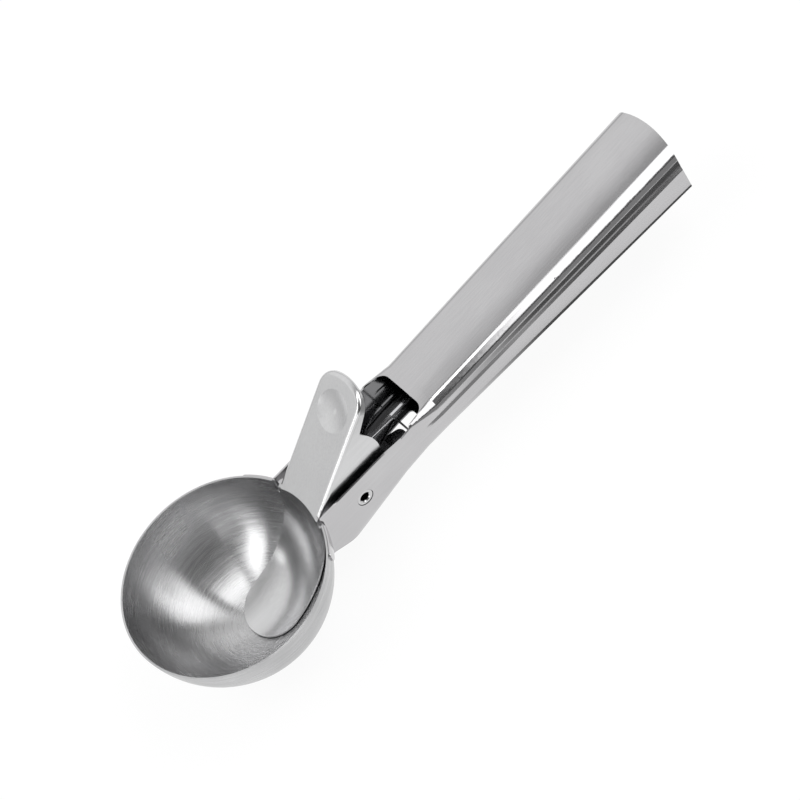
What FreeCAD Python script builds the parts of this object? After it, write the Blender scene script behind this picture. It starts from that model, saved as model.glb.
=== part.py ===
import FreeCAD, Part
import math
import os
import Sketcher

os.makedirs("parts", exist_ok=True)

Vector = FreeCAD.Vector
Rotation = FreeCAD.Rotation
Placement = FreeCAD.Placement

doc = FreeCAD.newDocument("lever_scoop")

# Sizes in millimetres and degrees.
# The origin is the centre of the bowl's rim, +X runs along the handle and +Z out of the bowl's mouth.
sheet = doc.addObject("Spreadsheet::Sheet", "size")
sizes = {
    # Bowl
    "ball_radius": "28.5",
    "ball_level": "1.35",
    "bowl_sheet": "0.5",
    "notch_half": "10.5",
    "notch_depth": "4.8",
    "notch_corner": "1.5",
    # Sheet of the handle, and the stations that its section is drawn at
    "handle_sheet": "0.5",
    "front_inside": "9.5",
    "bend_x": "52",
    "neck_x": "60",
    "mouth_x": "68",
    "tail_x": "158",
    "neck_half": "9.9",
    "mouth_half": "10.1",
    "tail_half": "11.45",
    "neck_crown": "2.2",
    "mouth_crown": "2.5",
    "tail_crown": "8.3",
    "neck_shoulder": "0.9",
    "mouth_shoulder": "3",
    "tail_shoulder": "4",
    "neck_crown_rise": "0.1",
    "mouth_crown_rise": "0.7",
    "tail_crown_rise": "1.1",
    "front_floor": "-21.4",
    "bend_floor": "-13.7",
    "neck_floor": "-12.7",
    "mouth_floor": "-12.6",
    "tail_floor": "-11.4",
    "neck_floor_radius": "4.5",
    "tail_floor_radius": "2.6",
    "crease_depth": "0.5",
    "tail_crease_depth": "0.9",
    "neck_crease_level": "-3",
    "mouth_crease_level": "-3.6",
    "tail_crease_level": "-0.8",
    "crease_step": "0.9",
    # Cuts in the handle
    "neck_top": "0.9",
    "neck_top_back": "1.5",
    "neck_top_dip": "0.8",
    "mouth_front": "65.3",
    "mouth_cut_half": "8.7",
    "mouth_cut_corner": "3",
    "floor_clear": "4.5",
    "web_inside": "3.7",
    "web_level": "-13.4",
    "window_start": "55.6",
    "window_end": "64.7",
    "window_half": "4",
    "tongue_half": "1.9",
    "tongue_root_half": "3.8",
    "tongue_corner": "2.6",
    "tongue_root": "1.5",
    "tongue_end": "59.3",
    "tongue_lift": "0.8",
    "end_x": "157",
    "end_bow": "40",
    # Ears that lie on the outside of the bowl
    "ear_sweep": "21.6",
    "ear_top": "-0.3",
    "ear_bottom": "-5.4",
    "ear_corner": "1",
    "ear_low_corner": "3.4",
    "ear_trim": "0.2",
    # Hinge
    "pin_x": "39.3",
    "pin_level": "-5.9",
    "pin_radius": "2.4",
    "pin_bore": "1.35",
    "pin_recess": "0.15",
    "pin_chamfer": "0.25",
    "pin_play": "0.05",
    # Ejector lever
    "lever_sheet": "0.6",
    "blade_gap": "0.3",
    "blade_cone_level": "-4.5",
    "blade_top": "2",
    "plate_slope": "38.5",
    "plate_inside": "1.4",
    "plate_half": "8.2",
    "plate_length": "36.3",
    "plate_corner": "5.6",
    "plate_end_radius": "13",
    "plate_root": "0.12",
    "plate_root_radius": "19.5",
    "fold_radius": "1.1",
    "inner_fold_radius": "0.5",
    "flange_reach": "18",
    "lip_depth": "3.4",
    "lip_end_depth": "1.5",
    "blade_half": "9",
    "blade_tip": "-3.9",
    "lobe_x": "37.9",
    "lobe_level": "4.8",
    "lobe_radius": "12.77",
    "eye_radius": "4.3",
    "flange_inside": "0.6",
    "flange_front_level": "-2.4",
    "dish_along": "26.5",
    "dish_radius": "5.6",
    "dish_depth": "0.6",
    # Return spring
    "wire_radius": "0.3",
    "coil_radius": "3.4",
    "coil_pitch": "1.05",
    "coil_turns": "3",
    "coil_start": "1.4",
    "front_leg_lean": "72",
    "front_leg": "15",
    "bar_x": "60.2",
    "bar_bend": "1",
    "bar_clear": "0.1",
}
for row, (alias, number) in enumerate(sizes.items(), 1):
    sheet.set("A%d" % row, alias)
    sheet.set("B%d" % row, number)
    sheet.setAlias("B%d" % row, alias)
doc.recompute()


def num(text):
    # The value of an expression in the sheet's words.
    return float(sheet.evalExpression(str(text)))


def bound(text):
    # The same expression with the sheet's name before each of its words.
    out = ""
    word = ""
    for letter in str(text) + " ":
        if letter.isalnum() or letter in "_.":
            word += letter
            continue
        out += ("size." + word if word in sizes else word) + letter
        word = ""
    return out.strip()


def new_body(label):
    body = doc.addObject("PartDesign::Body", label)
    body.Label = label
    return body


def plane_of(body, role):
    return [item for item in body.Origin.OriginFeatures if item.Role == role][0]


def new_sketch(body, name, role, shift=None, turn=None):
    # A sketch on one of the body's own planes, moved along its normal or turned by expressions.
    sketch = body.newObject("Sketcher::SketchObject", name)
    sketch.AttachmentSupport = [(plane_of(body, role), "")]
    sketch.MapMode = "FlatFace"
    if turn:
        axis, angle = turn
        sketch.AttachmentOffset = Placement(Vector(), Rotation(axis, num(angle)))
        sketch.setExpression(".AttachmentOffset.Rotation.Angle", bound(angle))
    for letter, text in (shift or {}).items():
        sketch.setExpression(".AttachmentOffset.Base." + letter, bound(text))
    return sketch


class Corner:
    # A corner of an outline. The arc that leaves it has a radius, or a centre, and a side for its centre.
    # A free corner, and the level of a loose centre, are found by the other constraints.
    def __init__(self, x, y, radius=None, side=1, centre=None, free=False, smooth=False, loose=False):
        self.x = x
        self.y = y
        self.radius = radius
        self.side = side
        self.centre = centre
        self.free = free
        self.smooth = smooth
        self.loose = loose


def arc_centre(start, end, radius, side):
    middle = (start + end) * 0.5
    chord = end - start
    reach = math.sqrt(max(radius * radius - chord.Length * chord.Length / 4.0, 0.0))
    left = Vector(-chord.y, chord.x, 0).normalize()
    return middle + left * (reach * side)


def draw(sketch, corners):
    # A closed outline of lines and arcs, each corner held by the sheet's expressions.
    first = sketch.GeometryCount
    points = [Vector(num(corner.x), num(corner.y), 0) for corner in corners]
    count = len(corners)
    flips = []
    for step, corner in enumerate(corners):
        start = points[step]
        end = points[(step + 1) % count]
        if corner.radius is None and corner.centre is None:
            sketch.addGeometry(Part.LineSegment(start, end), False)
            flips.append((1, 2))
            continue
        if corner.centre is None:
            centre = arc_centre(start, end, num(corner.radius), corner.side)
        else:
            centre = Vector(num(corner.centre[0]), num(corner.centre[1]), 0)
        radius = (start - centre).Length
        circle = Part.Circle(centre, Vector(0, 0, 1), radius)
        from_angle = math.atan2(start.y - centre.y, start.x - centre.x)
        to_angle = math.atan2(end.y - centre.y, end.x - centre.x)
        if corner.side > 0:
            sketch.addGeometry(Part.ArcOfCircle(circle, from_angle, to_angle), False)
            flips.append((1, 2))
        else:
            sketch.addGeometry(Part.ArcOfCircle(circle, to_angle, from_angle), False)
            flips.append((2, 1))
    for step, corner in enumerate(corners):
        here = first + step
        before = first + (step - 1) % count
        arrive = flips[(step - 1) % count][1]
        leave = flips[step][0]
        kind = "Tangent" if corner.smooth else "Coincident"
        sketch.addConstraint(Sketcher.Constraint(kind, before, arrive, here, leave))
    for step, corner in enumerate(corners):
        here = first + step
        leave = flips[step][0]
        if not corner.free:
            hold(sketch, "DistanceX", (-1, 1, here, leave), corner.x)
            hold(sketch, "DistanceY", (-1, 1, here, leave), corner.y)
        if corner.radius is not None:
            hold(sketch, "Radius", (here,), corner.radius)
        if corner.centre is not None:
            hold(sketch, "DistanceX", (-1, 1, here, 3), corner.centre[0])
            if not corner.loose:
                hold(sketch, "DistanceY", (-1, 1, here, 3), corner.centre[1])


def hold(sketch, kind, places, text):
    index = sketch.addConstraint(Sketcher.Constraint(kind, *places, num(text)))
    sketch.setExpression("Constraints[%d]" % index, bound(text))


def add_circle(sketch, x, y, radius):
    centre = Vector(num(x), num(y), 0)
    index = sketch.addGeometry(Part.Circle(centre, Vector(0, 0, 1), num(radius)), False)
    hold(sketch, "DistanceX", (-1, 1, index, 3), x)
    hold(sketch, "DistanceY", (-1, 1, index, 3), y)
    hold(sketch, "Radius", (index,), radius)


def feature(body, kind, name, profile, **values):
    item = body.newObject("PartDesign::" + kind, name)
    item.Profile = profile
    for key, value in values.items():
        if isinstance(value, str) and key in ("Length", "Angle"):
            item.setExpression(key, bound(value))
        else:
            setattr(item, key, value)
    body.Tip = item
    doc.recompute()
    return item


def cut_through(body, name, profile):
    # A cut to both sides of the sketch, wider than the whole scoop.
    return feature(body, "Pocket", name, profile, SideType="Symmetric", Type="Length", Length=120)


def ball_x(radius, level):
    # How far out the ball of this radius is at a level.
    return "sqrt(%s^2-(%s-ball_level)^2)" % (radius, level)


def upright(edge, at_x):
    # A short edge that runs up and down at this distance along the handle.
    first, last = edge.Vertexes[0].Point, edge.Vertexes[-1].Point
    across = abs(first.y - last.y) < 0.01 and abs(first.z - last.z) > 0.3
    return edge.Length < 3 and across and abs(first.x - at_x) < 0.2 and abs(last.x - at_x) < 0.2


def round_corners(body, name, radius, chosen):
    edges = ["Edge%d" % (step + 1) for step, edge in enumerate(body.Shape.Edges) if chosen(edge)]
    last = body.Tip
    item = body.newObject("PartDesign::Fillet", name)
    item.Base = (last, edges)
    item.setExpression("Radius", bound(radius))
    body.Tip = item
    doc.recompute()
    return item


# Bowl: a revolved shell, a little less than half a ball, with a notch for the lever.
bowl = new_body("bowl")
outer_ball = "ball_radius"
inner_ball = "(ball_radius-bowl_sheet)"
profile = new_sketch(bowl, "bowl_profile", "XZ_Plane")
draw(profile, [
    Corner(0, "ball_level-ball_radius", centre=(0, "ball_level"), side=1),
    Corner(ball_x(outer_ball, 0), 0, free=True),
    Corner(ball_x(inner_ball, 0), 0, centre=(0, "ball_level"), side=-1, free=True),
    Corner(0, "ball_level-ball_radius+bowl_sheet"),
])
for place in ((0, 2), (2, 2)):
    profile.addConstraint(Sketcher.Constraint("PointOnObject", place[0], place[1], -1))
feature(bowl, "Revolution", "bowl_shell", profile, ReferenceAxis=(profile, ["V_Axis"]), Angle=360)
notch = new_sketch(bowl, "bowl_notch", "YZ_Plane")
draw(notch, [
    Corner("-notch_half", 2),
    Corner("-notch_half", "notch_corner-notch_depth", radius="notch_corner", side=1),
    Corner("notch_corner-notch_half", "-notch_depth"),
    Corner("notch_half-notch_corner", "-notch_depth", radius="notch_corner", side=1),
    Corner("notch_half", "notch_corner-notch_depth"),
    Corner("notch_half", 2),
])
feature(bowl, "Pocket", "lever_notch", notch, Type="Length", Length=60, Reversed=True)


# Handle: one wrapped sheet, lofted through five sections, hollow, with its neck cut open.
handle = new_body("handle")
front_x = "(ball_radius-front_inside)"
web_start = "(ball_radius-web_inside)"
floor_start = "(ball_radius+floor_clear)"
stations = {
    "front": (front_x, "neck_half", "neck_crown", "neck_shoulder", "neck_crown_rise", "front_floor",
              "neck_floor_radius", "0", "neck_crease_level"),
    "bend": ("bend_x", "neck_half", "neck_crown", "neck_shoulder", "neck_crown_rise", "bend_floor",
             "neck_floor_radius", "0", "neck_crease_level"),
    "neck": ("neck_x", "neck_half", "neck_crown", "neck_shoulder", "neck_crown_rise", "neck_floor",
             "neck_floor_radius", "0", "neck_crease_level"),
    "mouth": ("mouth_x", "mouth_half", "mouth_crown", "mouth_shoulder", "mouth_crown_rise", "mouth_floor",
              "neck_floor_radius", "crease_depth", "mouth_crease_level"),
    "tail": ("tail_x", "tail_half", "tail_crown", "tail_shoulder", "tail_crown_rise", "tail_floor",
             "tail_floor_radius", "tail_crease_depth", "tail_crease_level"),
}


def section(station, inset):
    # Crown, shoulders, side creases, walls and floor of the wrapped sheet, drawn in by the inset.
    at_x, half, crown, shoulder, rise, floor, corner, depth, crease = stations[station]
    name = station + ("_inner" if inset != "0" else "_outer")
    sketch = new_sketch(handle, name, "YZ_Plane", shift={"z": at_x})
    wide = "(%s-%s)" % (half, inset)
    level = "(%s-%s-%s)" % (crown, shoulder, rise)
    round_radius = "(%s-%s)" % (shoulder, inset)
    arm = num(half) - num(shoulder)
    drop = num(shoulder) + num(rise)
    crown_radius = (arm * arm + drop * drop - num(shoulder) ** 2) / (2 * num(rise))
    lean = math.atan2(crown_radius - drop, arm)
    inner_crown = crown_radius - num(inset)
    touch_y = inner_crown * math.cos(lean)
    touch_z = num(crown) - crown_radius + inner_crown * math.sin(lean)
    centre_z = num(crown) - crown_radius
    walls = [
        (wide, level),
        ("%s-%s" % (wide, depth), crease),
        ("%s-%s/3" % (wide, depth), "%s-crease_step" % crease),
        ("%s-%s/3" % (wide, depth), "%s+%s" % (floor, corner)),
    ]
    foot = ("%s-%s/3-%s" % (half, depth, corner), "%s+%s" % (floor, inset))
    foot_radius = "%s-%s" % (corner, inset)
    top = {"centre": (0, centre_z), "loose": True}
    corners = [Corner(0, "%s-%s" % (crown, inset), **top)]
    corners.append(Corner(-touch_y, touch_z, radius=round_radius, free=True, smooth=True))
    corners += [Corner("-(%s)" % y, z) for y, z in walls]
    corners[-1].radius = foot_radius
    corners.append(Corner("-(%s)" % foot[0], foot[1]))
    corners.append(Corner(foot[0], foot[1], radius=foot_radius))
    corners += [Corner(y, z) for y, z in reversed(walls)]
    corners[-1].radius = round_radius
    corners.append(Corner(touch_y, touch_z, free=True, smooth=True, **top))
    draw(sketch, corners)
    return sketch


outer = [section(name, "0") for name in stations]
feature(handle, "AdditiveLoft", "wrapped_sheet", outer[0], Sections=outer[1:], Ruled=True)
inner = [section(name, "handle_sheet") for name in stations]
feature(handle, "SubtractiveLoft", "hollow", inner[0], Sections=inner[1:], Ruled=True)

# The neck's open top, the mouth in the crown and the window in the floor behind the tongue.
side = new_sketch(handle, "neck_top_line", "XZ_Plane")
draw(side, [
    Corner(front_x + "-5", "neck_top"),
    Corner("bend_x-3.1", "neck_top_back"),
    Corner("bend_x+3.7", "neck_top_dip"),
    Corner("neck_x-1.1", "neck_top_back-0.2"),
    Corner("neck_x", "neck_top_back+1"),
    Corner("neck_x", "neck_crown+6"),
    Corner(front_x + "-5", "neck_crown+6"),
])
cut_through(handle, "neck_opening", side)
mouth = new_sketch(handle, "mouth_outline", "XY_Plane", shift={"z": "neck_top_dip-0.2"})
draw(mouth, [
    Corner(front_x + "-5", "-(neck_half-handle_sheet)"),
    Corner("neck_x-1.5", "-(neck_half-handle_sheet)"),
    Corner("mouth_front-mouth_cut_corner", "-mouth_cut_half", radius="mouth_cut_corner"),
    Corner("mouth_front", "mouth_cut_corner-mouth_cut_half"),
    Corner("mouth_front", "mouth_cut_half-mouth_cut_corner", radius="mouth_cut_corner"),
    Corner("mouth_front-mouth_cut_corner", "mouth_cut_half"),
    Corner("neck_x-1.5", "neck_half-handle_sheet"),
    Corner(front_x + "-5", "neck_half-handle_sheet"),
])
feature(handle, "Pocket", "mouth", mouth, Type="Length", Length=20, Reversed=True)
window = new_sketch(handle, "window_outline", "XY_Plane", shift={"z": "mouth_floor+5"})
draw(window, [
    Corner("window_start", "-window_half"),
    Corner("window_end-1", "-window_half", radius="1"),
    Corner("window_end", "1-window_half"),
    Corner("window_end", "window_half-1", radius="1"),
    Corner("window_end-1", "window_half"),
    Corner("window_start", "window_half"),
])
feature(handle, "Pocket", "floor_window", window, Type="Length", Length=20)
floor_slope = "((neck_floor-bend_floor)/(neck_x-bend_x))"
tongue_level = "(bend_floor+(window_start-tongue_root-bend_x)*%s)" % floor_slope
tongue = new_sketch(handle, "tongue_side", "XZ_Plane")
draw(tongue, [
    Corner("window_start-tongue_root", tongue_level),
    Corner("tongue_end", "neck_floor+tongue_lift"),
    Corner("tongue_end", "neck_floor+tongue_lift+handle_sheet"),
    Corner("window_start-tongue_root", tongue_level + "+handle_sheet"),
])
feature(handle, "Pad", "tongue", tongue, SideType="Symmetric", Type="Length", Length="2*tongue_root_half")
taper = new_sketch(handle, "tongue_sides", "XY_Plane", shift={"z": "mouth_floor+5"})
for way in ("", "-"):
    draw(taper, [
        Corner("window_start", way + "tongue_root_half"),
        Corner("tongue_end", way + "tongue_half"),
        Corner("tongue_end+1", way + "tongue_half"),
        Corner("tongue_end+1", way + "window_half"),
        Corner("window_start", way + "window_half"),
    ])
feature(handle, "Pocket", "tongue_taper", taper, Type="Length", Length=20)
round_corners(handle, "tongue_tip", "tongue_corner", lambda edge: upright(edge, num("tongue_end")))

# The webs of the neck run on to the bowl and end on its ball; the floor stops short of it.
front = new_sketch(handle, "web_line", "XZ_Plane")
draw(front, [
    Corner(front_x + "-5", "web_level+2"),
    Corner(web_start, "web_level"),
    Corner(floor_start, "web_level-3"),
    Corner(floor_start, "front_floor-5"),
    Corner(front_x + "-5", "front_floor-5"),
])
cut_through(handle, "floor_front", front)
ball = new_sketch(handle, "ball_outline", "XZ_Plane")
draw(ball, [
    Corner(0, "ball_level-ball_radius", radius="ball_radius"),
    Corner("ball_radius", "ball_level", radius="ball_radius"),
    Corner(0, "ball_level+ball_radius"),
])
feature(handle, "Groove", "ball_seat", ball, ReferenceAxis=(ball, ["V_Axis"]), Angle=360)

# Two ears, bent outwards from the webs, lie on the outside of the bowl.
ear_ball = "(ball_radius+handle_sheet)"
ear_start = "(asin((neck_half-handle_sheet)/ball_radius)/1deg)"
for side_name, way, turn_by in (("far", 1, ear_start), ("near", -1, ear_start + "+ear_sweep")):
    ear = new_sketch(handle, side_name + "_ear_section", "XZ_Plane", turn=(Vector(0, way, 0), turn_by))
    draw(ear, [
        Corner(ball_x(ear_ball, "ear_bottom"), "ear_bottom", radius=ear_ball),
        Corner(ball_x(ear_ball, "ear_top"), "ear_top"),
        Corner(ball_x("ball_radius", "ear_top"), "ear_top", radius="ball_radius", side=-1),
        Corner(ball_x("ball_radius", "ear_bottom"), "ear_bottom"),
    ])
    feature(handle, "Revolution", side_name + "_ear", ear, ReferenceAxis=(ear, ["V_Axis"]), Angle="ear_sweep")
    # Its free end, seen straight on: a small round above and a large one below.
    end = new_sketch(handle, side_name + "_ear_end", "YZ_Plane", turn=(Vector(0, way, 0), ear_start + "+ear_sweep"))
    sign = "" if way > 0 else "-"
    rows = [
        ("ear_trim", "ear_bottom-ear_trim", None),
        ("ear_trim", "ear_top+ear_trim", None),
        ("(-ear_trim-ear_corner)", "ear_top+ear_trim", None),
        ("(-ear_trim-ear_corner)", "ear_top", "ear_corner"),
        ("(-ear_trim)", "ear_top-ear_corner", None),
        ("(-ear_trim)", "ear_bottom+ear_low_corner", "ear_low_corner"),
        ("(-ear_trim-ear_low_corner)", "ear_bottom", None),
        ("(-ear_trim-ear_low_corner)", "ear_bottom-ear_trim", None),
    ]
    draw(end, [Corner(sign + x, y, radius=radius, side=-way) for x, y, radius in rows])
    feature(handle, "Pocket", side_name + "_ear_corners", end, Type="Length", Length=60, Reversed=True)
holes = new_sketch(handle, "handle_pin_circle", "XZ_Plane")
add_circle(holes, "pin_x", "pin_level", "pin_radius+pin_play")
cut_through(handle, "handle_pin_holes", holes)
tail = new_sketch(handle, "bowed_end", "XY_Plane")
bow_x = "end_x-end_bow+sqrt(end_bow^2-16^2)"
draw(tail, [
    Corner(bow_x, "-16", radius="end_bow"),
    Corner(bow_x, "16"),
    Corner("tail_x+5", "16"),
    Corner("tail_x+5", "-16"),
])
cut_through(handle, "tail_trim", tail)


# Ejector lever: a folded channel that is the thumb plate, its lip and its two flanges, and a blade.
lever = new_body("ejector_lever")
on_slope = (Vector(0, -1, 0), "plate_slope")
plate_x = "(ball_radius-plate_inside)"
root = "(%s-plate_root_radius+sqrt(plate_root_radius^2-%s^2))"


def plate_outline(inset, start):
    # Straight sides, round corners and a bowed end.
    half = "(plate_half-%s)" % inset
    corner = "(plate_corner-%s)" % inset
    end = "(plate_end_radius-%s)" % inset
    centre_x = "(plate_length-plate_end_radius)"
    turn_x = "sqrt((plate_end_radius-plate_corner)^2-(plate_half-plate_corner)^2)"
    reach = "%s/(plate_end_radius-plate_corner)" % end
    side_x = "%s+%s" % (centre_x, turn_x)
    meet_x = "%s+%s*%s" % (centre_x, turn_x, reach)
    meet_y = "(plate_half-plate_corner)*%s" % reach
    return [
        Corner(start, "-" + half),
        Corner(side_x, "-" + half, radius=corner),
        Corner(meet_x, "-" + meet_y, radius=end),
        Corner(meet_x, meet_y, radius=corner),
        Corner(side_x, half),
        Corner(start, half),
    ]


def sloped_point(along, depth):
    # A point on the lever's middle plane, measured along the thumb plate and down from its face.
    return (plate_x + "+(%s)*cos(plate_slope)+(%s)*sin(plate_slope)" % (along, depth),
            "(%s)*sin(plate_slope)-(%s)*cos(plate_slope)" % (along, depth))


channel = new_sketch(lever, "plate_outline", "XY_Plane", shift={"x": plate_x}, turn=on_slope)
root_corner = root % ("plate_root", "plate_half")
corners = plate_outline("0", root_corner)
corners[-1] = Corner(root_corner, "plate_half", radius="plate_root_radius", side=-1)
draw(channel, corners)
feature(lever, "Pad", "channel", channel, Type="Length", Length="flange_reach", Reversed=True)
face_normal = Vector(-math.sin(math.radians(num("plate_slope"))), 0, math.cos(math.radians(num("plate_slope"))))


def depth_of(point):
    return -(point - Vector(num(plate_x), 0, 0)).dot(face_normal)


def along_of(point):
    return (point - Vector(num(plate_x), 0, 0)).dot(Vector(face_normal.z, 0, -face_normal.x))


def rim_edge(edge, depth, least):
    ends = [edge.valueAt(edge.FirstParameter), edge.valueAt(edge.LastParameter)]
    middle = edge.valueAt((edge.FirstParameter + edge.LastParameter) / 2)
    flat = all(abs(depth_of(point) - depth) < 0.01 for point in ends + [middle])
    return flat and along_of(middle) > least and edge.Length > 3


round_corners(lever, "outer_fold", "fold_radius", lambda edge: rim_edge(edge, 0, 2))
below = sloped_point("0", "lever_sheet")
room = new_sketch(lever, "channel_room", "XY_Plane", shift={"x": below[0], "z": below[1]}, turn=on_slope)
draw(room, plate_outline("lever_sheet", "-6"))
feature(lever, "Pocket", "channel_inside", room, Type="Length", Length="flange_reach")
round_corners(lever, "inner_fold", "inner_fold_radius", lambda edge: rim_edge(edge, num("lever_sheet"), 2))

# The flanges: eye round the pin, lobe behind it, and the lip's edge parallel to the plate.
eye = Vector(num("pin_x"), num("pin_level"), 0)
lobe = Vector(num("lobe_x"), num("lobe_level"), 0)
lobe_along = "((lobe_x-%s)*cos(plate_slope)+lobe_level*sin(plate_slope))" % plate_x
lobe_depth = "((lobe_x-%s)*sin(plate_slope)-lobe_level*cos(plate_slope))" % plate_x
cusp_along = "(%s+sqrt(lobe_radius^2-(lip_depth-%s)^2))" % (lobe_along, lobe_depth)
cusp = sloped_point(cusp_along, "lip_depth")
lip_end = sloped_point("2*plate_length-" + cusp_along, "2*lip_end_depth-lip_depth")
lobe_radius = num("lobe_radius")
flange_front = "(ball_radius-flange_inside)"
nose = Vector(num(flange_front), num("flange_front_level"), 0) - eye
front_angle = math.atan2(nose.y, nose.x) + math.acos(num("eye_radius") / nose.Length)
gap = eye - lobe
back_angle = math.atan2(gap.y, gap.x) + math.acos((lobe_radius - num("eye_radius")) / gap.Length)
touch_front = eye + Vector(math.cos(front_angle), math.sin(front_angle), 0) * num("eye_radius")
touch_back = eye + Vector(math.cos(back_angle), math.sin(back_angle), 0) * num("eye_radius")
touch_lobe = lobe + Vector(math.cos(back_angle), math.sin(back_angle), 0) * lobe_radius
flange = new_sketch(lever, "flange_outline", "XZ_Plane")
draw(flange, [
    Corner(plate_x + "-8", "flange_front_level+0.4"),
    Corner(flange_front, "flange_front_level"),
    Corner(touch_front.x, touch_front.y, radius="eye_radius", centre=("pin_x", "pin_level"), free=True,
           smooth=True),
    Corner(touch_back.x, touch_back.y, free=True, smooth=True),
    Corner(touch_lobe.x, touch_lobe.y, centre=("lobe_x", "lobe_level"), free=True, smooth=True),
    Corner(*cusp),
    Corner(*lip_end),
    Corner(lip_end[0] + "+flange_reach", lip_end[1]),
    Corner(lip_end[0] + "+flange_reach", "-40"),
    Corner(plate_x + "-8", "-40"),
])
cut_through(lever, "flange_trim", flange)

# The blade: a shell that follows the inside of the bowl, straight at its root, trimmed to a round-ended strip.
blade_out = "(ball_radius-bowl_sheet-blade_gap)"
blade_in = "(ball_radius-bowl_sheet-blade_gap-lever_sheet)"
cone_x = "sqrt(%s^2-(blade_cone_level-ball_level)^2)" % blade_in
cone_slope = "((ball_level-blade_cone_level)/%s)" % cone_x
cone_top = "(%s+(blade_top-blade_cone_level)*%s)" % (cone_x, cone_slope)
scale = "(%s/%s)" % (blade_out, blade_in)
blade = new_sketch(lever, "blade_section", "XZ_Plane")
draw(blade, [
    Corner(0, "ball_level-" + blade_out, radius=blade_out),
    Corner("%s*%s" % (cone_x, scale), "ball_level+(blade_cone_level-ball_level)*" + scale),
    Corner("%s+lever_sheet*sqrt(1+%s^2)" % (cone_top, cone_slope), "blade_top"),
    Corner(cone_top, "blade_top"),
    Corner(cone_x, "blade_cone_level", radius=blade_in, side=-1),
    Corner(0, "ball_level-" + blade_in),
])
feature(lever, "Revolution", "blade_shell", blade, ReferenceAxis=(blade, ["V_Axis"]), Angle=360)
strip = new_sketch(lever, "blade_outline", "XY_Plane")
draw(strip, [
    Corner("ball_radius+1.5", "-ball_radius-10"),
    Corner("ball_radius+1.5", "-plate_half"),
    Corner("ball_radius-2.5", "-plate_half"),
    Corner("blade_tip+blade_half", "-blade_half", radius="blade_half", side=-1),
    Corner("blade_tip", "0", radius="blade_half", side=-1),
    Corner("blade_tip+blade_half", "blade_half"),
    Corner("ball_radius-2.5", "plate_half"),
    Corner("ball_radius+1.5", "plate_half"),
    Corner("ball_radius+1.5", "ball_radius+10"),
    Corner("-ball_radius-10", "ball_radius+10"),
    Corner("-ball_radius-10", "-ball_radius-10"),
])
cut_through(lever, "blade_strip", strip)
above_low = sloped_point("-8", "0")
above_high = sloped_point("6", "0")
above = new_sketch(lever, "root_trim_outline", "XZ_Plane")
draw(above, [
    Corner(*above_low),
    Corner(*above_high),
    Corner(above_high[0], "20"),
    Corner(above_low[0], "20"),
])
cut_through(lever, "root_trim", above)

# The dish in the thumb plate keeps the sheet's thickness: the bulge below first, then the hollow above.
dish_ball = "((dish_radius^2+dish_depth^2)/(2*dish_depth))"
dish_place = sloped_point("dish_along", "0")
bulge_half = "sqrt((%s+lever_sheet)^2-(%s+lever_sheet-dish_depth)^2)" % (dish_ball, dish_ball)
for name, kind, rows in (
    ("dish_bulge", "Revolution", [
        Corner(0, "-dish_depth-lever_sheet", radius=dish_ball + "+lever_sheet"),
        Corner(bulge_half, "-lever_sheet"),
        Corner(bulge_half, "0.1-lever_sheet"),
        Corner(0, "0.1-lever_sheet"),
    ]),
    ("dish_hollow", "Groove", [
        Corner(0, "-dish_depth", radius=dish_ball),
        Corner("dish_radius", "0"),
        Corner("dish_radius", "0.5"),
        Corner(0, "0.5"),
    ]),
):
    dish = new_sketch(lever, name + "_section", "XZ_Plane", shift={"x": dish_place[0], "y": dish_place[1]},
                      turn=(Vector(0, 0, 1), "plate_slope"))
    draw(dish, rows)
    feature(lever, kind, name, dish, ReferenceAxis=(dish, ["V_Axis"]), Angle=360)
eyes = new_sketch(lever, "lever_pin_circle", "XZ_Plane")
add_circle(eyes, "pin_x", "pin_level", "pin_radius+pin_play")
cut_through(lever, "lever_pin_holes", eyes)


# Pivot pin: hollow, with its ends just inside the outer faces of the webs.
pin = new_body("pivot_pin")
pin.setExpression(".Placement.Base.x", bound("pin_x"))
pin.setExpression(".Placement.Base.z", bound("pin_level"))
tube = new_sketch(pin, "pin_section", "XY_Plane")
pin_half = "(neck_half-pin_recess)"
draw(tube, [
    Corner("pin_bore+pin_chamfer", "-" + pin_half),
    Corner("pin_radius-pin_chamfer/2", "-" + pin_half),
    Corner("pin_radius", "pin_chamfer/2-" + pin_half),
    Corner("pin_radius", pin_half + "-pin_chamfer/2"),
    Corner("pin_radius-pin_chamfer/2", pin_half),
    Corner("pin_bore+pin_chamfer", pin_half),
    Corner("pin_bore", pin_half + "-pin_chamfer"),
    Corner("pin_bore", "pin_chamfer-" + pin_half),
])
feature(pin, "Revolution", "pin_tube", tube, ReferenceAxis=(tube, ["V_Axis"]), Angle=360)


# Return spring: one wire, with a coil each side, two legs under the plate and a cross bar on the floor.
wire_radius = num("wire_radius")
coil = num("coil_radius")
pitch = num("coil_pitch")
rise = pitch / (2 * math.pi)
floor_level = num("neck_floor") + num("handle_sheet")
bar = Vector(num("bar_x") - num("pin_x"), 0, floor_level + wire_radius + num("bar_clear") - num("pin_level"))
bar_reach = math.hypot(bar.x, bar.z)
first_angle = math.radians(num("front_leg_lean") + 90)
last_angle = math.atan2(bar.z, bar.x) - math.acos(coil / bar_reach) + 2 * math.pi * (1 + num("coil_turns"))


def coil_point(angle):
    y = num("coil_start") + rise * (angle - first_angle)
    return Vector(coil * math.cos(angle), y, coil * math.sin(angle))


def coil_heading(angle):
    return Vector(-coil * math.sin(angle), rise, coil * math.cos(angle)).normalize()


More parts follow.
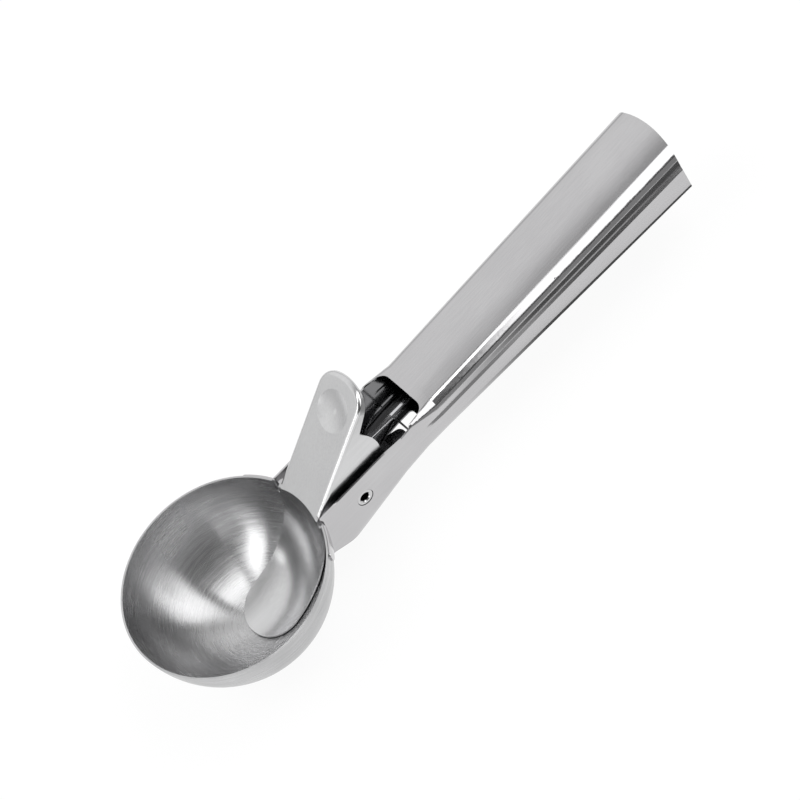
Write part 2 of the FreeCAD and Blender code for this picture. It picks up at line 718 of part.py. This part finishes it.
def arc_from(start, heading, end):
    # An arc that leaves the start along the heading and reaches the end.
    chord = end - start
    lean = heading.getAngle(chord)
    corner = start + heading * (chord.Length / 2 / math.cos(lean))
    middle = (start + end) * 0.5
    top = middle + (corner - middle).normalize() * (chord.Length / 2 * math.tan(lean / 2))
    return Part.Arc(start, top, end).toShape()


def biarc(start, start_heading, end, end_heading):
    chord = end - start
    both = start_heading + end_heading
    bend = 2 * (1 - start_heading.dot(end_heading))
    reach = (math.sqrt(chord.dot(both) ** 2 + bend * chord.dot(chord)) - chord.dot(both)) / bend
    joint = (start + end + (start_heading - end_heading) * reach) * 0.5
    middle_heading = ((end - end_heading * reach) - (start + start_heading * reach)).normalize()
    return [arc_from(start, start_heading, joint), arc_from(joint, middle_heading, end)]


def half_wire():
    # From the free end of one leg to the middle of the cross bar, on the far side.
    start = coil_point(first_angle)
    pieces = [Part.LineSegment(start - coil_heading(first_angle) * num("front_leg"), start).toShape()]
    steps = int(math.ceil((last_angle - first_angle) / (math.pi / 2)))
    turn = (last_angle - first_angle) / steps
    for step in range(steps):
        low = first_angle + step * turn
        pieces += biarc(coil_point(low), coil_heading(low), coil_point(low + turn), coil_heading(low + turn))
    leave = coil_point(last_angle)
    heading = coil_heading(last_angle)
    flat = math.hypot(heading.x, heading.z)
    corner = leave + heading * (math.sqrt(bar_reach ** 2 - coil ** 2) / flat)
    inward = Vector(0, -1, 0)
    trim = num("bar_bend") * math.tan(heading.getAngle(inward) / 2)
    pieces.append(Part.LineSegment(leave, corner - heading * trim).toShape())
    pieces.append(arc_from(corner - heading * trim, heading, corner + inward * trim))
    pieces.append(Part.LineSegment(corner + inward * trim, Vector(corner.x, 0, corner.z)).toShape())
    return pieces


far_half = half_wire()
near_half = [piece.mirror(Vector(), Vector(0, 1, 0)) for piece in far_half]
spine = Part.Wire(Part.__sortEdges__(far_half + near_half))
tip = spine.OrderedEdges[0]
tip_point = spine.OrderedVertexes[0].Point
tip_heading = (spine.OrderedVertexes[1].Point - tip_point).normalize()
ring = Part.Wire(Part.Circle(tip_point, tip_heading, wire_radius).toShape())
spring = doc.addObject("Part::Feature", "return_spring")
spring.Label = "return_spring"
spring.Shape = spine.makePipeShell([ring], True, False)
spring.setExpression(".Placement.Base.x", bound("pin_x"))
spring.setExpression(".Placement.Base.z", bound("pin_level"))
trace = spine.discretize(Distance=0.2)
apart = 3 * num("pin_radius") + 3
step_length = spine.Length / (len(trace) - 1)
skip = int(apart / step_length)
least = min((trace[i] - trace[k]).Length for i in range(len(trace)) for k in range(i + skip, len(trace)))
print("return_spring least gap to itself %.2f mm" % (least - 2 * wire_radius))

doc.recompute()
problems = [item.Name for item in doc.Objects if "Invalid" in item.State or "Error" in item.State]
if problems:
    raise RuntimeError("features with a fault: " + ", ".join(problems))
for item in (bowl, handle, lever, pin, spring):
    if item.Shape.isNull() or not item.Shape.isValid() or len(item.Shape.Solids) != 1:
        raise RuntimeError(item.Label + " is not one valid solid")
    item.Shape.exportStep("parts/" + item.Label + ".step")
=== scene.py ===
import math

import bmesh
import bpy
from mathutils import Matrix, Quaternion, Vector


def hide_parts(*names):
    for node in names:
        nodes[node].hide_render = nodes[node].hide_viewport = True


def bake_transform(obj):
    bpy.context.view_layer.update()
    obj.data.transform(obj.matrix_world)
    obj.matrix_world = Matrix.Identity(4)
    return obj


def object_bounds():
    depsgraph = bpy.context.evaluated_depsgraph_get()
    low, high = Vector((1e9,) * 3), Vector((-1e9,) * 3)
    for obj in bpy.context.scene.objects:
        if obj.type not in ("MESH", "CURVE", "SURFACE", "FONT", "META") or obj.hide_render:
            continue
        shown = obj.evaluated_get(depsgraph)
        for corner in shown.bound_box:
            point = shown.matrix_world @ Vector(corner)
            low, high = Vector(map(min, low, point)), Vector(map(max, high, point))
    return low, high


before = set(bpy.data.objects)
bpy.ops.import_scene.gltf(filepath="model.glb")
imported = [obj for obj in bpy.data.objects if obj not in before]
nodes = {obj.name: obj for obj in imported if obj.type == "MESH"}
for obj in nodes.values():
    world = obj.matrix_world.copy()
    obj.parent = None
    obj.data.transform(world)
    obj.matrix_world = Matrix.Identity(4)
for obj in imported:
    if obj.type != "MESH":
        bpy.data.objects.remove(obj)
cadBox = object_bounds()
scene = bpy.context.scene
bottom = cadBox[0][2]  # the lowest point of the bowl


# a shader socket that takes Python's own operators, each adding a Math node
class Wire:
    def __init__(self, maker, socket):
        self.maker = maker
        self.socket = socket

    def join(self, operation, first, second):
        return self.maker.node("Math", {"operation": operation}, {0: first, 1: second})

    def __add__(self, other):
        return self.join("ADD", self, other)

    def __sub__(self, other):
        return self.join("SUBTRACT", self, other)

    def __rsub__(self, other):
        return self.join("SUBTRACT", other, self)

    def __mul__(self, other):
        return self.join("MULTIPLY", self, other)

    def __truediv__(self, other):
        return self.join("DIVIDE", self, other)

    __radd__ = __add__
    __rmul__ = __mul__

    def ask(self, operation, other=0.0):  # any other Math operation
        return self.join(operation, self, other)

    def rise(self, low, high):  # 0 below low, 1 above high, smooth between
        settings = {"interpolation_type": "SMOOTHSTEP", "clamp": True}
        return self.maker.node("MapRange", settings, {"Value": self, "From Min": low, "From Max": high})


# one material or world being wired up
class Wiring:
    def __init__(self, owner):
        owner.use_nodes = True
        self.owner = owner
        self.tree = owner.node_tree
        self.tree.nodes.clear()

    def node(self, kind, settings=None, values=None, output=0):
        made = self.tree.nodes.new("ShaderNode" + kind)
        for name, value in (settings or {}).items():
            setattr(made, name, value)
        for name, value in (values or {}).items():
            self.feed(made.inputs[name], value)
        return Wire(self, made.outputs[output])

    def feed(self, socket, value):
        if isinstance(value, Wire):
            self.tree.links.new(value.socket, socket)
        else:
            socket.default_value = value

    def split(self, vector):
        parts = self.node("SeparateXYZ", None, {"Vector": vector})
        outputs = parts.socket.node.outputs
        return [Wire(self, outputs[letter]) for letter in "XYZ"]

    def merge(self, x, y, z):
        return self.node("CombineXYZ", None, {"X": x, "Y": y, "Z": z})

    def place(self):
        return self.node("TexCoord", None, None, "Object")

    def noise(self, vector, scale, detail=2.0, roughness=0.5):
        values = {"Vector": vector, "Scale": scale, "Detail": detail, "Roughness": roughness}
        return self.node("TexNoise", None, values, "Fac")

    def tint(self, amount, dark, light):  # a colour between two, by amount
        ends = [end if isinstance(end, Wire) else (*end, 1) for end in (dark, light)]
        return self.node("Mix", {"data_type": "RGBA"}, {0: amount, 6: ends[0], 7: ends[1]}, 2)

    def fadedGlow(self, strength, fade):  # a light that is clear where fade is 0
        glow = self.node("Emission", None, {"Strength": strength})
        clear = self.node("BsdfTransparent")
        return self.node("MixShader", None, {0: fade, 1: clear, 2: glow})

    def finish(self, shader, kind="OutputMaterial"):
        end = self.tree.nodes.new("ShaderNode" + kind)
        self.tree.links.new(shader.socket, end.inputs["Surface"])
        return self.owner


def newWiring(name):
    return Wiring(bpy.data.materials.new(name))


# an object from a bmesh, which is freed
def makeThing(name, shape):
    mesh = bpy.data.meshes.new(name)
    shape.to_mesh(mesh)
    shape.free()
    thing = bpy.data.objects.new(name, mesh)
    scene.collection.objects.link(thing)
    return thing


def makeSquare(size):
    shape = bmesh.new()
    bmesh.ops.create_grid(shape, x_segments=1, y_segments=1, size=size)
    return shape


def paint(thing, material):
    thing.data.materials.clear()
    thing.data.materials.append(material)
    for face in thing.data.polygons:
        face.material_index = 0


# the bowl: rings and broken scratches about its axis
spun = {
    "outerRadius": 0.0285,
    "sheet": 0.0005,
    "blur": 0.0002,
    "dark": (0.44, 0.44, 0.445),
    "light": (0.62, 0.62, 0.625),
    "ringShare": 0.6,
    "tintFrom": (0.3, 0.7),
    "rings": (45, 1.5),  # how fine across them, and along them
    "cuts": (210, 1.1),
    "cutFrom": (0.58, 0.72),
    "patchScale": 70.0,
    "patchFrom": (0.52, 0.66),
    "roughness": 0.26,
    "patchRoughness": 0.10,
    "ringRoughness": 0.14,
    "ringHeight": 0.5,
    "outsideCuts": 0.1,
    "bumpStrength": 0.15,
    "bumpDistance": 0.00003,
    "anisotropic": 0.9,
    "turned": 0.25,  # highlights stretch outwards from the middle
}


def spunSteel():
    w = newWiring("spun_steel")
    x, y, z = w.split(w.place())
    z = z - (bottom + spun["outerRadius"])
    across = (x * x + y * y).ask("SQRT")
    out = (x * x + y * y + z * z).ask("SQRT")
    inner = spun["outerRadius"] - spun["sheet"]
    inside = 1 - out.rise(inner - spun["blur"], inner + spun["blur"])
    turn = y.ask("ARCTAN2", x)
    lean = across.ask("ARCTAN2", z)
    fine, long = spun["rings"]
    rings = w.noise(w.merge(fine * lean, long * turn, 0), 1.0, 4.0, 0.65)
    patches = w.noise(w.place(), spun["patchScale"])
    fine, long = spun["cuts"]
    cuts = w.noise(w.merge(fine * lean, long * turn, 0), 1.0).rise(*spun["cutFrom"])
    cuts = cuts * patches.rise(*spun["patchFrom"])
    mix = spun["ringShare"] * rings + (1 - spun["ringShare"]) * patches
    colour = w.tint(mix.rise(*spun["tintFrom"]), spun["dark"], spun["light"])
    rough = spun["roughness"] + (patches - 0.5) * spun["patchRoughness"]
    rough = rough + (rings - 0.5) * spun["ringRoughness"]
    cutDepth = spun["outsideCuts"] + inside * (1 - spun["outsideCuts"])
    bump = w.node("Bump", None, {
        "Strength": spun["bumpStrength"], "Distance": spun["bumpDistance"],
        "Height": spun["ringHeight"] * rings * inside + cuts * cutDepth,
    })
    shader = w.node("BsdfPrincipled", None, {
        "Base Color": colour, "Metallic": 1.0, "Roughness": rough, "Normal": bump,
        "Anisotropic": spun["anisotropic"], "Anisotropic Rotation": spun["turned"],
    })
    return w.finish(shader)


# the other four pieces: a fine grain along X
satin = {
    "grain": (60, 2600, 2600),  # how fine along x, y and z
    "grainShare": 0.5,
    "tintFrom": (0.3, 0.7),
    "patchScale": 60.0,
    "patchRoughness": 0.08,
    "grainRoughness": 0.04,
    "bumpStrength": 0.05,
    "bumpDistance": 0.00003,
}
# where the handle's surface faces its own middle line, inside the tube, its colour is darkened as
# painted shade, and it is smoother
tubeInsideShade = {
    "level": -0.005,  # height of that line
    "facing": (-0.0008, 0.0002),
    "starts": (0.030, 0.034),  # along x, just behind the bowl
    "colour": (0.20, 0.20, 0.205),
    "roughness": 0.12,
}
steels = {  # dark tint, light tint, roughness
    "handle_steel": ((0.505, 0.50, 0.508), (0.55, 0.545, 0.553), 0.15),
    "lever_steel": ((0.60, 0.60, 0.605), (0.66, 0.66, 0.665), 0.2),
    "pin_steel": ((0.55, 0.55, 0.555), (0.62, 0.62, 0.625), 0.14),
    "spring_steel": ((0.40, 0.40, 0.41), (0.55, 0.55, 0.56), 0.2),
}


def satinSteel(name, inside=None):
    dark, light, roughness = steels[name]
    w = newWiring(name)
    x, y, z = w.split(w.place())
    alongX, alongY, alongZ = satin["grain"]
    grain = w.noise(w.merge(alongX * x, alongY * y, alongZ * z), 1.0, 2.0, 0.6)
    patches = w.noise(w.place(), satin["patchScale"])
    mix = satin["grainShare"] * grain + (1 - satin["grainShare"]) * patches
    colour = w.tint(mix.rise(*satin["tintFrom"]), dark, light)
    rough = roughness + (patches - 0.5) * satin["patchRoughness"]
    rough = rough + (grain - 0.5) * satin["grainRoughness"]
    # painted shade: where the handle's surface faces the inside of the tube, its colour is darkened
    if inside:
        normal = w.split(w.node("TexCoord", None, None, "Normal"))
        facing = y * normal[1] + (z - inside["level"]) * normal[2]
        insideShade = (1 - facing.rise(*inside["facing"])) * x.rise(*inside["starts"])
        colour = w.tint(insideShade, colour, inside["colour"])
        rough = rough + insideShade * (inside["roughness"] - roughness)
    bump = w.node("Bump", None, {
        "Strength": satin["bumpStrength"], "Distance": satin["bumpDistance"], "Height": grain,
    })
    shader = w.node("BsdfPrincipled", None, {
        "Base Color": colour, "Metallic": 1.0, "Roughness": rough, "Normal": bump,
    })
    return w.finish(shader)


paint(nodes["bowl"], spunSteel())
paint(nodes["handle"], satinSteel("handle_steel", tubeInsideShade))
paint(nodes["ejector_lever"], satinSteel("lever_steel"))
paint(nodes["pivot_pin"], satinSteel("pin_steel"))
print("steel finishes are on")

# the spring: a smooth copy of the part's wire, put in place of the part
mergeDistance = 1e-6


def makeSpring():
    shape = bmesh.new()
    shape.from_mesh(nodes["return_spring"].data)
    bmesh.ops.remove_doubles(shape, verts=shape.verts, dist=mergeDistance)
    for face in shape.faces:
        face.smooth = True
    return makeThing("spring_wire", shape)


springWire = makeSpring()
paint(springWire, satinSteel("spring_steel"))
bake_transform(springWire)
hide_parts("return_spring")
print("spring is made")

# the studio: a white floor and sky, with cards that show only in the steel
studio = {
    "floorLevel": bottom - 0.00002,
    "floorHalf": 2.0,
    "floorWhite": 0.9,
    "shadowHeld": 0.08,  # how much of a shadow the floor shows
    "skyDiffuse": 0.7,
}


def seen(w):  # 1 for rays that look or mirror, 0 for rays that only light
    path = w.node("LightPath").socket.node.outputs
    rays = [Wire(w, path[n]) for n in ("Is Camera Ray", "Is Glossy Ray", "Is Transmission Ray")]
    return (rays[0] + rays[1] + rays[2]).ask("MINIMUM", 1.0)


def makeFloor():
    shape = makeSquare(studio["floorHalf"])
    bmesh.ops.translate(shape, verts=shape.verts, vec=(0, 0, studio["floorLevel"]))
    floor = makeThing("floor", shape)
    w = newWiring("floor_white")
    white = studio["floorWhite"]
    matt = w.node("BsdfDiffuse", None, {"Color": (white, white, white, 1)})
    glow = w.node("Emission", None, {"Strength": 1.0})
    share = seen(w) * (1 - studio["shadowHeld"])
    paint(floor, w.finish(w.node("MixShader", None, {0: share, 1: matt, 2: glow})))


def makeWorld():
    scene.world = bpy.data.worlds.new("studio")
    w = Wiring(scene.world)
    strength = seen(w) * (1 - studio["skyDiffuse"]) + studio["skyDiffuse"]
    sky = w.node("Background", None, {"Color": (1, 1, 1, 1), "Strength": strength})
    w.finish(sky, "OutputWorld")


def onlyReflected(thing):
    for ray in ("camera", "diffuse", "transmission", "volume_scatter", "shadow"):
        setattr(thing, "visible_" + ray, False)


matLift = 0.002
matFade = (0.36, 0.5)  # in the mat's own lengths from its middle
# painted shadow: dark mats on the floor where the handle's shadow falls, seen only in the steel
shadowMats = {  # middle in x and y, length, width, strength
    "shadow_under": (0.21, -0.008, 0.28, 0.027, 0.10),
    "shadow_front": (0.20, -0.15, 0.34, 0.22, 0.33),
}


# a dark mat flat under or before the handle, a painted shadow on the floor that shows only in the steel
def makeShadowMat(name):
    x, y, length, width, strength = shadowMats[name]
    shape = makeSquare(0.5)
    stretch = Matrix.Diagonal((length, width, 1, 1))
    place = Matrix.Translation((x, y, studio["floorLevel"] + matLift))
    bmesh.ops.transform(shape, matrix=place @ stretch, verts=shape.verts)
    mat = makeThing(name, shape)
    w = newWiring(name)
    along = w.split(w.place())[0]
    fade = 1 - ((along - x) / length).ask("ABSOLUTE").rise(*matFade)
    paint(mat, w.finish(w.fadedGlow(strength, fade)))
    onlyReflected(mat)


# the surroundings: dark before the scoop, light behind it
dome = {
    "radius": 1.5,
    "front": 0.16,
    "rear": 1.0,
    "rearLow": 0.62,
    "frontLow": 0.05,
    "rearFrom": (-0.2, 0.55),  # by the direction's y
    "highFrom": (0.0, 0.5),  # by its z
    "aheadFrom": (0.35, 0.7),  # by its -y, less where it points aside
    "aside": 0.5,
    "aheadTo": (0.25, 0.6),  # by its z
}


def makeTent():
    shape = bmesh.new()
    bmesh.ops.create_icosphere(shape, subdivisions=4, radius=dome["radius"])
    tent = makeThing("tent", shape)
    w = newWiring("tent_light")
    toward = w.node("VectorMath", {"operation": "NORMALIZE"}, {0: w.place()})
    x, y, z = w.split(toward)
    rear = y.rise(*dome["rearFrom"])
    upper = dome["front"] + rear * (dome["rear"] - dome["front"])
    light = upper + (1 - z.rise(*dome["highFrom"])) * rear * (dome["rearLow"] - dome["rear"])
    ahead = (y * -1 - x.ask("ABSOLUTE") * dome["aside"]).rise(*dome["aheadFrom"])
    ahead = ahead * (1 - z.rise(*dome["aheadTo"]))
    light = light * (1 - ahead) + ahead * dome["frontLow"]
    paint(tent, w.finish(w.node("Emission", None, {"Strength": light})))
    onlyReflected(tent)


cardAim = Vector((0.05, 0, 0))
cardFade = (0.30, 0.5)  # in the card's own lengths and widths from its middle
cards = {  # the middles of two ends, width, strength
    "card_right": ((0.16, -0.08, 0.35), (0.42, -0.11, 0.13), 0.16, 3.2),
    "card_left": ((-0.14, -0.08, 0.36), (-0.42, -0.13, 0.12), 0.17, 3.2),
    "card_bowl": ((-0.15, -0.09, 0.37), (0.14, -0.09, 0.37), 0.15, 3.8),
    "card_low": ((-0.60, -0.38, 0.10), (-0.30, -0.62, 0.14), 0.30, 2.0),
    "card_top": ((0.075, -0.0925, 0.1025), (0.26, -0.0925, 0.1025), 0.24, 2.1),
    "card_dish": ((-0.40, 0.04, 0.22), (-0.36, 0.16, 0.22), 0.10, 1.7),
    "flag_front": ((0.02, -0.15, 0.012), (0.34, -0.15, 0.012), 0.058, 0.12),
}


# a card between two points, turned to face the scoop
def makeCard(name):
    start, end, width, strength = cards[name]
    start = Vector(start)
    end = Vector(end)
    middle = (start + end) / 2
    along = (end - start).normalized()
    across = (cardAim - middle).cross(along).normalized()
    card = makeThing(name, makeSquare(0.5))
    turn = Matrix((along, across, along.cross(across))).transposed().to_4x4()
    size = Matrix.Diagonal(((end - start).length, width, 1, 1))
    card.matrix_world = Matrix.Translation(middle) @ turn @ size
    w = newWiring(name)
    x, y, z = w.split(w.place())
    edge = x.ask("ABSOLUTE").ask("MAXIMUM", y.ask("ABSOLUTE"))
    paint(card, w.finish(w.fadedGlow(strength, 1 - edge.rise(*cardFade))))
    onlyReflected(card)


lamps = {  # place, size, power
    "lamp_left": ((-0.6, 0.2, 0.9), 0.8, 6),
    "lamp_right": ((0.7, -0.1, 0.9), 0.8, 6),
}


# a soft lamp that looks at the middle of the bowl's rim
def makeLamp(name):
    place, size, power = lamps[name]
    lamp = bpy.data.lights.new(name, "AREA")
    lamp.shape = "SQUARE"
    lamp.size = size
    lamp.energy = power
    thing = bpy.data.objects.new(name, lamp)
    scene.collection.objects.link(thing)
    thing.location = place
    thing.rotation_mode = "QUATERNION"
    thing.rotation_quaternion = (-Vector(place)).to_track_quat("-Z", "Y")
    thing.visible_glossy = False


# the photograph's camera
camera = {
    "place": (-0.02759, -0.5343, 0.72644),
    "target": (0.06299, -0.00098, 0.00091),
    "roll": -37.401,  # degrees about the view line
    "lens": 160.9065,
    "sensor": 36,
    "clipEnd": 20,
}


def makeCamera():
    view = bpy.data.cameras.new("camera")
    view.sensor_width = camera["sensor"]
    view.lens = camera["lens"]
    view.clip_end = camera["clipEnd"]
    thing = bpy.data.objects.new("camera", view)
    scene.collection.objects.link(thing)
    place = Vector(camera["place"])
    aim = (Vector(camera["target"]) - place).to_track_quat("-Z", "Y")
    roll = Quaternion((0, 0, 1), math.radians(camera["roll"]))
    thing.matrix_world = Matrix.Translation(place) @ (aim @ roll).to_matrix().to_4x4()
    scene.camera = thing


makeFloor()
for name in shadowMats:
    makeShadowMat(name)
makeWorld()
makeTent()
for name in cards:
    makeCard(name)
for name in lamps:
    makeLamp(name)
makeCamera()
scene.view_settings.view_transform = "Standard"
print("studio is set")
